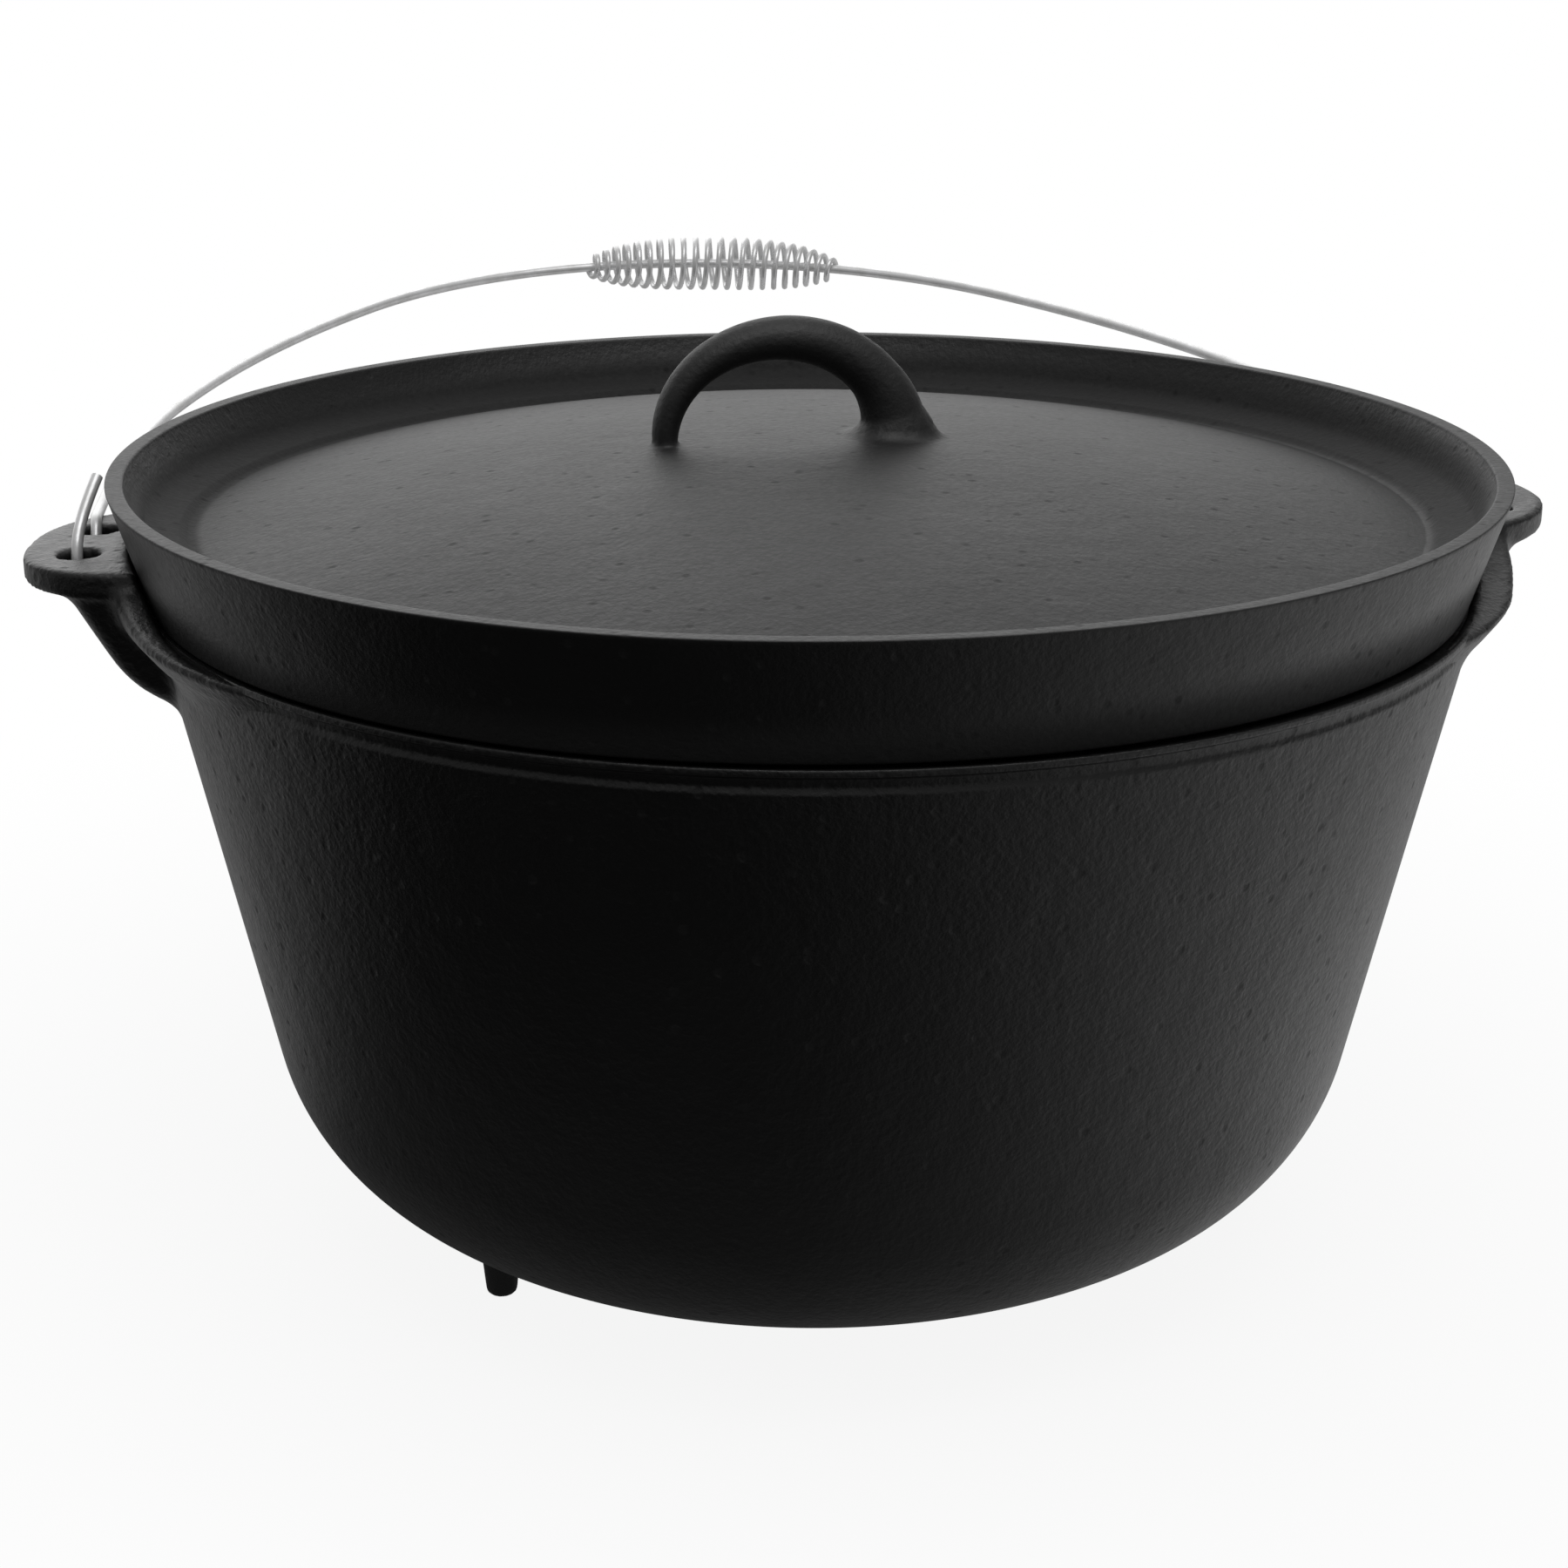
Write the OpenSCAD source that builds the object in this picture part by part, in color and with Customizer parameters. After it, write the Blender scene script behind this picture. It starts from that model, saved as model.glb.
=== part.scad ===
// Camp dutch oven: a cast-iron pot with ears and stub legs, a domed lid with a loop handle,
// and a wire bail with a wound grip. Z is up, X runs through both ears, and the pot stands on Z = 0.
// The bail lies back towards +Y, and the origin is under the middle of the whole.

/* [Pot] */
// Outside radius of the pot at its rim
rim_r = 174.5; // [150:0.5:200]
// Height from the pot's outer bottom to its rim
pot_h = 172; // [140:1:200]
// Lean of the wall from upright, in degrees
draft = 12; // [6:0.5:16]
// Outside radius of the round between wall and bottom
corner_r = 58; // [40:1:64]
// Thickness of the wall
wall_t = 4.6; // [3.5:0.1:6]
// Thickness of the bottom
base_t = 5.5; // [4:0.1:8]
// Height of the thicker band below the rim
band_h = 8; // [5:0.5:14]
// How far the band stands proud of the wall
band_out = 0.8; // [0.4:0.1:2]
// Width of the flat land on top of the rim
land_w = 9; // [8.5:0.5:12]

/* [Legs] */
// Number of legs
leg_count = 3; // [3:1:4]
// Height of the legs under the pot's bottom
leg_h = 12; // [8:0.5:25]
// Diameter of a leg at its foot
leg_foot_d = 8; // [6:0.5:12]
// Diameter of a leg where it meets the pot
leg_root_d = 11; // [8:0.5:16]
// How far the legs' middles stand out from the flat of the bottom
leg_out = 14; // [4:0.5:18]

/* [Lid] */
// Height of the lid's outer skirt
skirt_h = 29.9; // [24:0.1:40]
// How far the skirt flares out over that height
skirt_flare = 12; // [8:0.5:20]
// How far the skirt's foot stands in from the pot's rim
seat_in = 5; // [4:0.1:6.5]
// Gap between the skirt's foot and the rim's land
seat_gap = 0.3; // [0.2:0.05:0.6]
// Thickness of the lid's plate and skirt
lid_t = 4.6; // [3.5:0.1:6]
// Width of the flat top of the lid's rim
lid_rim_w = 5; // [3:0.5:8]
// Depth of the trough inside the rim, below the rim's top
trough_deep = 13.3; // [9:0.1:18]
// Radius of the hollow curve from the trough up to the rim
trough_r = 15; // [8:0.5:18]
// Distance from the rim's outer edge in to the trough's lowest line
trough_in = 24.5; // [22:0.5:40]
// Height of the dome's middle above the rim's top
dome_up = 3.9; // [0:0.1:12]
// Depth of the locating lip inside the pot
lip_deep = 4; // [2:0.5:8]
// Thickness of the locating lip
lip_t = 3.5; // [3:0.1:5]
// Side clearance of the locating lip inside the rim
lip_clear = 1.2; // [0.6:0.1:2.5]

/* [Lid handle] */
// Half the distance between the middles of the handle's feet
loop_half = 32.5; // [26:0.5:45]
// Height of the loop's middle line above the dome
loop_h = 27; // [20:0.5:40]
// Thickness of the loop at its top, seen from the front
loop_t = 11.5; // [8:0.5:16]
// Thickness of the loop just above its slimmer foot
loop_slim_t = 8; // [6:0.5:14]
// Depth of the loop from front to back
loop_deep = 14; // [9:0.5:20]
// How far the feet spread where they run into the dome
loop_spread = 3.5; // [0.5:0.5:6]
// Sideways place of the loop on the dome
loop_shift = -4; // [-8:0.5:8]

/* [Ears] */
// Height of the ear's top above the pot's rim
ear_up = 12.4; // [7:0.1:16]
// Thickness of the ear's plate
ear_t = 6.4; // [5:0.1:9]
// Width of the ear along the rim
ear_w = 56; // [44:1:70]
// Corner radius of the ear seen from above
ear_corner_r = 22; // [6:0.5:26]
// Metal outside the middle of the holes
ear_edge = 13.7; // [10:0.1:20]
// Diameter of the two holes in each ear
hole_d = 10.6; // [10.4:0.1:12]
// Distance between the middles of the two holes
hole_gap = 22.4; // [22:0.1:24]
// Half-width along the rim of the shoulders that sweep up to the ear
shoulder_half = 100; // [70:1:115]
// Thickness of the shoulders at their top
shoulder_t = 6.4; // [4:0.1:8]
// Clearance between the shoulders and the lid's skirt
shoulder_clear = 2.4; // [1.5:0.1:4]
// Room round the bail's turn under the ear
turn_room = 0.8; // [0.5:0.1:2]
// How far below the rim the shoulders start to leave the wall
shoulder_drop = 12; // [8:0.5:20]
// Radius of the hollow where the rib meets the ear's underside
rib_fillet_r = 9; // [6:0.5:14]
// Radius of the rib's outward curve down to the wall
rib_curve_r = 30; // [24:1:60]
// Length of the straight run between the hollow and that curve
rib_run = 14; // [6:0.5:20]

/* [Bail] */
// Diameter of the bail's wire
wire_d = 3; // [2.5:0.1:3.2]
// Radius of the turn under the ear, at the wire's middle
hook_r = 8.5; // [8.4:0.1:9]
// Gap between the lid's rim and the middle of the ear holes
bail_clear = 9.5; // [8:0.1:12]
// Lean of the bail from upright where it lies back, in degrees
bail_lean = 84; // [74:0.5:84.5]
// Height of the arch's plane above the hinge line, where it crosses the pot's middle
arch_up = 1.4; // [1:0.1:6]
// How far the arch reaches past the lid's rim
arch_past = 89; // [60:1:100]
// Radius of the arch's top
arch_top_r = 138; // [125:1:155]
// Radius of the arms' outward bow
arm_r = 366; // [320:1:400]
// Distance of the arms' start from the hinge line
arm_start = 30; // [29:0.5:36]
// Length of wire from the hinge line to the bend above the ear
shank_len = 13; // [12:0.5:15]
// Length of the free tail from the hinge line
tail_len = 18; // [14:0.5:24]
// How far the tail leans in towards the lid at its end
tail_in = 4; // [0:0.5:5]
// Sideways place of the loose bail in its holes
bail_shift = -1.2; // [-1.3:0.1:1.3]

/* [Grip] */
// Number of turns of the grip
grip_turns = 22; // [10:1:30]
// Length of the grip along the bail
grip_len = 81; // [60:1:110]
// Diameter of the grip's wire
grip_wire_d = 1.9; // [1.2:0.1:2]
// Outside diameter of the grip at its middle
grip_mid_d = 18.5; // [12:0.5:20]
// Clearance between the grip's end turns and the bail
grip_clear = 0.4; // [0.3:0.05:1]
// How much closer the end turns stand than the even pitch
grip_ease = 0.25; // [0:0.05:0.35]
// Where along the arch the loose grip sits
grip_shift = 17.5; // [-30:0.5:30]

/* [Hidden] */
iron = [0.09, 0.09, 0.095];
steel = [0.78, 0.78, 0.80];
overlap = 2;

// Heights, from the standing surface
base_z = leg_h;
rim_z = base_z + pot_h;
seat_z = rim_z + seat_gap;
lid_top_z = seat_z + skirt_h;
ear_top_z = rim_z + ear_up;
hinge_z = ear_top_z - ear_t / 2;

// Radii of the lid and of the ears' holes
skirt_foot_r = rim_r - seat_in;
lid_r = skirt_foot_r + skirt_flare;
land_in_r = rim_r - land_w;
lip_r = land_in_r - lip_clear;
trough_line_r = lid_r - trough_in;
hole_x = lid_r + bail_clear;
ear_tip_x = hole_x + ear_edge;

// Reach of the arch, and the shift that puts the origin under the middle of the whole
arch_h = lid_r + arch_past;
place_y = (lid_r - arch_h * sin(bail_lean) - grip_mid_d / 2) / 2;

// Wall line: outside radius at a height
function wall_r(z) = rim_r - (rim_z - z) * tan(draft);
// Skirt line: outside radius at a height
function skirt_r(z) = skirt_foot_r + (z - seat_z) * skirt_flare / skirt_h;
// Points of an arc about c from angle a to angle b
function arc(c, r, a, b, n) = [for (i = [0:n]) let (t = a + (b - a) * i / n) c + r * [cos(t), sin(t)]];
function unit(v) = v / norm(v);

// Tube of a given number of sides swept along points, with its frame carried from ring to ring
function tangent(p, i) = unit(p[min(i + 1, len(p) - 1)] - p[max(i - 1, 0)]);
function square_to(n, t) = unit(n - (n * t) * t);
function carried(p, n0) = [for (i = 0, n = square_to(n0, tangent(p, 0)); i < len(p);
    i = i + 1, n = square_to(n, tangent(p, min(i, len(p) - 1)))) n];
module tube(p, normals, radii, sides) {
    rings = [for (i = [0:len(p) - 1]) let (t = tangent(p, i), n = normals[i], b = cross(t, n))
        for (k = [0:sides - 1]) p[i] + radii[i][0] * cos(360 * k / sides) * n
            + radii[i][1] * sin(360 * k / sides) * b];
    last = (len(p) - 1) * sides;
    sleeve = [for (i = [0:len(p) - 2], k = [0:sides - 1]) let (a = i * sides + k,
        b = i * sides + (k + 1) % sides) each [[a, a + sides, b], [b, a + sides, b + sides]]];
    caps = [for (k = [1:sides - 2]) each [[0, k, k + 1], [last, last + k + 1, last + k]]];
    polyhedron(rings, concat(sleeve, caps));
}

// Pot

// Middle of the round between a wall line and a bottom, across from the axis
function round_x(r_top, z, r) = r_top - (rim_z - z) * tan(draft) - r / cos(draft);

// Half outline of the pot's outside, with the band under its rim
module pot_outline() {
    band_z = rim_z - band_h;
    edge = 1.2;
    polygon(concat(
        [[0, base_z]],
        arc([round_x(rim_r, base_z + corner_r, corner_r), base_z + corner_r], corner_r, -90, -draft, 18),
        [[wall_r(band_z - band_out), band_z - band_out], [wall_r(band_z) + band_out, band_z]],
        [[rim_r + band_out, rim_z - edge], [rim_r + band_out - edge, rim_z], [0, rim_z]]));
}

// Half outline of the pot's inside, the land on its rim and the room for the lid's skirt between the ears
module pot_cavity() {
    in_top_r = rim_r - wall_t / cos(draft);
    in_r = corner_r - wall_t;
    floor_z = base_z + base_t;
    blend_z = rim_z - 2 * band_h;
    room_z = rim_z + skirt_h;
    polygon(concat(
        [[0, floor_z]],
        arc([round_x(in_top_r, floor_z + in_r, in_r), floor_z + in_r], in_r, -90, -draft, 18),
        [[wall_r(blend_z) - wall_t / cos(draft), blend_z]],
        [[land_in_r, rim_z - band_h / 2], [land_in_r, rim_z]],
        [[skirt_r(rim_z) + shoulder_clear, rim_z], [skirt_r(room_z) + shoulder_clear, room_z], [0, room_z]]));
}

// The root reaches into the bottom where its round is highest over the leg
leg_circle_r = round_x(rim_r, base_z + corner_r, corner_r) + leg_out;
module leg() {
    across = leg_out + leg_root_d / 2;
    root_z = base_z + corner_r - sqrt(corner_r * corner_r - across * across) + base_t / 8;
    edge = leg_foot_d / 5;
    rotate_extrude($fn = 48)
        polygon(concat([[0, 0]], arc([leg_foot_d / 2 - edge, edge], edge, -90, 0, 4),
            [[leg_root_d / 2, root_z], [0, root_z]]));
}

// Side view of the rib under an ear: a hollow below the plate, a straight run, then a curve in to the wall
under_z = ear_top_z - ear_t;
rib_steep = 62;
rib_end = 20;
rib_hollow = arc([hole_x + ear_edge / 2.8, under_z - rib_fillet_r], rib_fillet_r, 90, 90 + rib_steep, 8);
rib_knee = rib_hollow[len(rib_hollow) - 1];
rib_bend = rib_knee - rib_run * [cos(rib_steep), sin(rib_steep)];
rib_curve = arc(rib_bend - rib_curve_r * [sin(rib_steep), -cos(rib_steep)], rib_curve_r,
    rib_steep - 90, rib_end - 90, 10);
rib_foot = rib_curve[len(rib_curve) - 1];
module rib_under() {
    far_x = ear_tip_x + overlap;
    low_z = rib_foot[1] - 2 * overlap;
    polygon(concat([[far_x, under_z]], rib_hollow, rib_curve, [[rib_foot[0], low_z], [far_x, low_z]]));
}

// Plan of an ear: straight sides and a rounded tip
module ear_plan() {
    half = ear_w / 2;
    in_x = rim_r * 0.88;
    polygon(concat([[in_x, -half]],
        arc([ear_tip_x - ear_corner_r, ear_corner_r - half], ear_corner_r, -90, 0, 10),
        arc([ear_tip_x - ear_corner_r, half - ear_corner_r], ear_corner_r, 0, 90, 10), [[in_x, half]]));
}

// Section of the flared wall that the shoulders are cut from
module shoulder_section() {
    low_z = rim_z - shoulder_drop;
    inner_top_r = skirt_r(ear_top_z) + shoulder_clear;
    outer_top_r = inner_top_r + shoulder_t;
    sunk_r = rim_r - land_w / 2;
    polygon([
        [wall_r(low_z) - wall_t / 2, low_z], [wall_r(low_z) - 0.6, low_z],
        [rim_r + 2.6, rim_z - shoulder_drop / 2], [rim_r + 6.8, rim_z],
        [outer_top_r - 1.4, rim_z + ear_up / 3], [outer_top_r, ear_top_z + overlap],
        [sunk_r, ear_top_z + overlap], [sunk_r, rim_z - overlap]]);
}

// Outline of the shoulders seen along the ear: level inside the ear, then a sweep down to the rim above,
// while the foot runs up to the rim below
sweep_start = ear_w * 0.42;
sweep_top = ear_up - 0.7;
function sweep_z(y) = rim_z + sweep_top * pow((shoulder_half - y) / (shoulder_half - sweep_start), 1.6);
module shoulder_front() {
    steps = 14;
    pitch = (shoulder_half - sweep_start) / steps;
    side = [for (i = [0:steps]) let (y = sweep_start + pitch * i) [y, sweep_z(y)]];
    foot_z = rim_z - shoulder_drop;
    foot_half = shoulder_half * 0.55;
    polygon(concat([[-foot_half, foot_z], [foot_half, foot_z]],
        [for (i = [steps:-1:0]) side[i]], [for (p = side) [-p[0], p[1]]]));
}

module ear_plate() {
    low_z = rib_foot[1] - overlap;
    difference() {
        translate([0, 0, low_z]) linear_extrude(height = ear_top_z - low_z) ear_plan();
        rotate([90, 0, 0]) linear_extrude(height = ear_w + 2 * overlap, center = true) rib_under();
    }
}

module shoulders() {
    intersection() {
        rotate_extrude($fn = 180) shoulder_section();
        translate([rim_r / 2, 0, 0]) rotate([90, 0, 90]) linear_extrude(height = rim_r) shoulder_front();
    }
}

module ear_holes() {
    for (y = [-1, 1] * hole_gap / 2)
        translate([hole_x, y, ear_top_z - ear_t - rib_fillet_r * 3])
            cylinder(h = ear_t + rib_fillet_r * 4, d = hole_d, $fn = 48);
}

// Room under the web between the holes, where the bail's wire turns
module turn_hollow() {
    room_r = hook_r + wire_d / 2 + turn_room;
    back_x = hole_x - abs(bail_shift) - wire_d / 2 - turn_room;
    intersection() {
        translate([back_x, 0, hinge_z]) rotate([0, 90, 0])
            cylinder(h = ear_tip_x - back_x, r = room_r, $fn = 72);
        translate([back_x - overlap, -room_r - overlap, under_z - 3 * room_r])
            cube([ear_tip_x, 2 * (room_r + overlap), 3 * room_r]);
    }
}

module pot() {
    color(iron) translate([0, place_y, 0]) difference() {
        union() {
            rotate_extrude($fn = 180) pot_outline();
            for (i = [0:leg_count - 1])
                rotate(90 + 360 * i / leg_count) translate([leg_circle_r, 0, 0]) leg();
            for (a = [0, 180]) rotate(a) ear_plate();
            for (a = [0, 180]) rotate(a) shoulders();
        }
        rotate_extrude($fn = 180) pot_cavity();
        for (a = [0, 180]) rotate(a) ear_holes();
        for (a = [0, 180]) rotate(a) turn_hollow();
    }
}

// Lid

dome_z = lid_top_z + dome_up;
trough_z = lid_top_z - trough_deep;
dome_drop = dome_z - trough_z;
dome_r = (trough_line_r * trough_line_r + dome_drop * dome_drop) / (2 * dome_drop);
dome_half = asin(trough_line_r / dome_r);

// Half outline of the lid: dome, trough, rim, skirt, seat and locating lip
module lid_outline() {
    rim_in_r = lid_r - lid_rim_w;
    edge = 1.2;
    centre = [0, dome_z - dome_r];
    hollow_c = [rim_in_r - trough_r, trough_z + trough_r];
    under = dome_r - lid_t;
    under_half = dome_half * 0.94;
    hip = under * [sin(under_half), cos(under_half)] + centre;
    polygon(concat(
        arc(centre, dome_r, 90, 90 - dome_half, 16),
        arc(hollow_c, trough_r, -90, -12, 10),
        [[rim_in_r + edge, lid_top_z], [lid_r - edge, lid_top_z], [lid_r, lid_top_z - edge]],
        [[skirt_r(seat_z + 2), seat_z + 2], [skirt_foot_r - 1, seat_z]],
        [[lip_r, seat_z], [lip_r, seat_z - lip_deep], [lip_r - lip_t, seat_z - lip_deep]],
        [[lip_r - lip_t, min(hip[1] - 1, trough_z - lid_t * 1.4)]],
        arc(centre, under, 90 - under_half, 90, 16)));
}

// Middle line of the loop handle: half an ellipse over the dome, with its feet sunk into it
function loop_point(a) = [-loop_half * cos(a), 0, dome_z + loop_h * sin(a)];
function loop_thick(a) = let (s = a / 180, slim = loop_slim_t + (loop_t - loop_slim_t) * min(1, s * 2))
    slim + loop_spread * (exp(-pow(a / 9, 2)) + 2 * exp(-pow((180 - a) / 14, 2)));
module lid_loop() {
    steps = 30;
    sunk = lid_t / 2;
    turns = [for (i = [0:steps]) 180 * i / steps];
    down = [0, 0, -sunk];
    line = concat([loop_point(0) + down], [for (a = turns) loop_point(a)], [loop_point(180) + down]);
    sizes = concat([turns[0]], turns, [turns[steps]]);
    radii = [for (a = sizes) [loop_thick(a), loop_deep + loop_thick(a) - loop_t] / 2];
    tube(line, carried(line, [1, 0, 0]), radii, 16);
}

module lid() {
    color(iron) translate([0, place_y, 0]) union() {
        rotate_extrude($fn = 180) lid_outline();
        translate([loop_shift, 0, 0]) lid_loop();
    }
}

// Bail

hook_lean = bail_lean / 2;
arm_foot_p = [hole_x, arm_start];
top_c = [0, arch_h - arch_top_r];
// Middle of the arm's bow: it passes through the arm's foot and touches the top's circle from outside
foot_far = norm(top_c - arm_foot_p);
foot_to_top = (top_c - arm_foot_p) / foot_far;
along = (arm_r * arm_r - pow(arm_r - arch_top_r, 2) + foot_far * foot_far) / (2 * foot_far);
aside = sqrt(arm_r * arm_r - along * along);
arm_c = arm_foot_p + along * foot_to_top + aside * [-foot_to_top[1], foot_to_top[0]];
arch_top_half = atan2(top_c[0] - arm_c[0], top_c[1] - arm_c[1]);
arm_end = atan2(arm_foot_p[0] - arm_c[0], arm_foot_p[1] - arm_c[1]);

// Part-frame point of the arch's plane at x and at w along the lean
function on_arch(p) = [p[0], p[1] * sin(bail_lean), hinge_z + arch_up + p[1] * cos(bail_lean)];
function arch_way(p) = [p[0], p[1] * sin(bail_lean), p[1] * cos(bail_lean)];
// Part-frame point of a hook at s across and t along its own lean
function on_hook(s, t) = [hole_x, s * cos(hook_lean) + t * sin(hook_lean),
    hinge_z - s * sin(hook_lean) + t * cos(hook_lean)];
function bezier(a, b, c, d, t) = let (s = 1 - t)
    s * s * s * a + 3 * s * s * t * b + 3 * s * t * t * c + t * t * t * d;

// Right half of the bail, from the tail to the top of the arch
tail = [for (s = [1:-0.25:0.25]) on_hook(-hook_r, tail_len * s) - [tail_in * s * s, 0, 0]];
turn_under = [for (a = [180:-15:0]) on_hook(hook_r * cos(a), -hook_r * sin(a))];
shank_end = on_hook(hook_r, shank_len);
arm_foot = on_arch(arm_foot_p);
arm_foot_way = arch_way([-cos(arm_end), sin(arm_end)]);
ease = norm(arm_foot - shank_end) * 0.38;
bend = [for (i = [0:7]) bezier(shank_end, shank_end + ease * unit(shank_end - on_hook(hook_r, 0)),
    arm_foot - ease * arm_foot_way, arm_foot, i / 7)];
arm = [for (i = [1:12]) let (a = arm_end + (arch_top_half - arm_end) * i / 12)
    on_arch(arm_c + arm_r * [sin(a), cos(a)])];
top_half = [for (i = [1:14]) let (a = arch_top_half * (1 - i / 14))
    on_arch(top_c + arch_top_r * [sin(a), cos(a)])];
half_bail = concat(tail, turn_under, bend, arm, top_half);

function flipped(p) = [-p[0], p[1], p[2]];
module bail() {
    line = concat(half_bail, [for (i = [len(half_bail) - 2:-1:0]) flipped(half_bail[i])]);
    color(steel) translate([bail_shift, place_y, 0])
        tube(line, carried(line, [1, 0, 0]), [for (p = line) [wire_d, wire_d] / 2], 12);
}

// Grip

grip_end_r = wire_d / 2 + grip_clear + grip_wire_d / 2;
grip_mid_r = (grip_mid_d - grip_wire_d) / 2;
rings_per_turn = 8;
// Place along the grip, from -0.5 to 0.5, at ring i, with the end turns closer together
grip_rings = grip_turns * rings_per_turn;
function grip_u(i) = i / grip_rings - 0.5;
function grip_along(u) = grip_len * (u + grip_ease * sin(360 * u) / (2 * PI));
function grip_r(u) = grip_end_r + (grip_mid_r - grip_end_r) * pow(max(0, 1 - 4 * u * u), 0.85);
function grip_angle(u) = (grip_along(u) + grip_shift) / arch_top_r * 180 / PI;
arch_square = [0, cos(bail_lean), -sin(bail_lean)];
function grip_out(u) = let (a = grip_angle(u)) arch_way([sin(a), cos(a)]);
function grip_normal(i) = let (t = 360 * i / rings_per_turn)
    cos(t) * grip_out(grip_u(i)) + sin(t) * arch_square;
function grip_point(i) = let (u = grip_u(i), a = grip_angle(u))
    on_arch(top_c + arch_top_r * [sin(a), cos(a)]) + grip_r(u) * grip_normal(i);
coil = [for (i = [0:grip_rings]) grip_point(i)];
coil_first = coil[0] - grip_wire_d * unit(coil[1] - coil[0]);
coil_last = coil[grip_rings] + grip_wire_d * unit(coil[grip_rings] - coil[grip_rings - 1]);
// Least gap between one turn and the next, measured between points and the lines of the next turn
function to_line(p, a, b) = let (v = b - a, t = max(0, min(1, ((p - a) * v) / (v * v)))) norm(p - a - t * v);
least_gap = min([for (i = [0:grip_rings - rings_per_turn - 1], k = [-3:2])
    let (j = i + rings_per_turn + k) if (j + 1 <= grip_rings)
        to_line(coil[i], coil[j], coil[j + 1])]) - grip_wire_d;

module coil_grip() {
    echo(least_gap_of_the_grip_to_itself = least_gap);
    line = concat([coil_first], coil, [coil_last]);
    normals = concat([grip_normal(0)], [for (i = [0:grip_rings]) grip_normal(i)], [grip_normal(grip_rings)]);
    squared = [for (i = [0:len(line) - 1]) square_to(normals[i], tangent(line, i))];
    color(steel) translate([bail_shift, place_y, 0])
        tube(line, squared, [for (p = line) [grip_wire_d, grip_wire_d] / 2], 6);
}

pot();
lid();
bail();
coil_grip();
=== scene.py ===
"""Camp dutch oven: a cast pot and lid, a wire bail and its wound grip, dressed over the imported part."""
import math

import bpy
import numpy as np
import openvdb
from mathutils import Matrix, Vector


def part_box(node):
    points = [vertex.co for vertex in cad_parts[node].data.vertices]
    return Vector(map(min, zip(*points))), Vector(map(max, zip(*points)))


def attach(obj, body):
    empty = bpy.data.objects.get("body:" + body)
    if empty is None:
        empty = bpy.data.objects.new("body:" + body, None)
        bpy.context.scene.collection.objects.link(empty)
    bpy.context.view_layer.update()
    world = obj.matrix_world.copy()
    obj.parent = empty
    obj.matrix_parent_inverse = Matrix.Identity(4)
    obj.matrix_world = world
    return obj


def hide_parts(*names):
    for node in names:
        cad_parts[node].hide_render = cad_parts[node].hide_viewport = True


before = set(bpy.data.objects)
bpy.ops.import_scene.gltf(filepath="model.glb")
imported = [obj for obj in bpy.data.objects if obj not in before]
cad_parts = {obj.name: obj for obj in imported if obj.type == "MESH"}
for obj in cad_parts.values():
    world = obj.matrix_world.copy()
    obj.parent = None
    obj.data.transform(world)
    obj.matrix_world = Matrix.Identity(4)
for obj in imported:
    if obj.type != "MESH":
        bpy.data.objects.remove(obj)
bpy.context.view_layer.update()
scene = bpy.context.scene
scene.view_settings.view_transform = "Standard"

# Camera. It stands a little left of the front and looks down on the lid by about nineteen degrees,
# where the photograph was taken from, with the same field of view over a square frame.
# Its place is in metres: how far back from the pot's axis, how far to one side and how high.
VIEW_TURN, VIEW_PITCH = math.radians(8.0), 0.325
BACK, ASIDE, UP = 0.7796, -0.0077, 0.38445
SENSOR, LENS = 36.0, 68.468
pot_low, pot_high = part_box("pot")
AXIS_Y = (pot_low.y + pot_high.y) / 2
camera = bpy.data.objects.new("camera", bpy.data.cameras.new("camera"))
scene.collection.objects.link(camera)
camera.data.sensor_width = SENSOR
camera.data.lens = LENS
camera.location = (ASIDE * math.cos(VIEW_TURN) - BACK * math.sin(VIEW_TURN),
                   AXIS_Y - ASIDE * math.sin(VIEW_TURN) - BACK * math.cos(VIEW_TURN), UP)
camera.rotation_euler = (math.pi / 2 - VIEW_PITCH, 0, -VIEW_TURN)
scene.camera = camera

# Pot. One sand casting in grey iron: a bowl with drafted walls and a round bottom, a seat for the lid,
# two ears swept up out of the rim and three stub legs. It is cast whole, so every corner is a fillet.
# Sizes are in millimetres from the pot's axis and from the ground, and the rib's angles are in degrees.
BASE_Z, RIM_Z = 12.0, 184.0
RIM_R, WALL, BOTTOM = 175.2, 4.6, 5.5
DRAFT = math.radians(12)
CORNER_R = 58.0
BAND_H, NECK_H, NECK_IN = 6.4, 2.6, 0.9
BEAD_H, BEAD_OUT = 1.6, 0.8
LAND_R, LAND_DROP = 166.2, 0.8
SEAT_Z, SKIRT_H, SKIRT_R, SKIRT_FLARE = 184.4, 30.4, 173.6, 9.6
EAR_TOP, EAR_T, EAR_TIP, EAR_ROUND = 197.2, 6.4, 204.7, 41.0
UNDER_Z = EAR_TOP - EAR_T
HOLE_X, HOLE_Y, HOLE_R = 189.5, 12.9, 5.3
HINGE_Z, HOOK_ROOM_R, HOOK_ROOM_IN = 193.2, 12.3, 3.5
RIB_SLOPE, RIB_OUT, RIB_RUN, RIB_ROOT = 62, 6.6, 15.5, 150.0
RIB_INSET, RIB_DEEP, RIB_TAPER = 1.2, 40.0, 0.36
HOLLOW_R, CURL_R, CURL_END = 9.0, 30.0, -70
SHOULDER_HALF, SHOULDER_CLEAR, SHOULDER_T, SHOULDER_DROP = 100.0, 0.8, 6.6, 12.0
CREST_UP, CREST_FLAT, CREST_FALL = 11.7, 29.0, 2.4
PULL_IN, PULL_FROM, PULL_FULL = 8.0, 60.0, 104.0
SINK, SINK_FROM, SINK_FULL = 1.3, 84.0, 108.0
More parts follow.
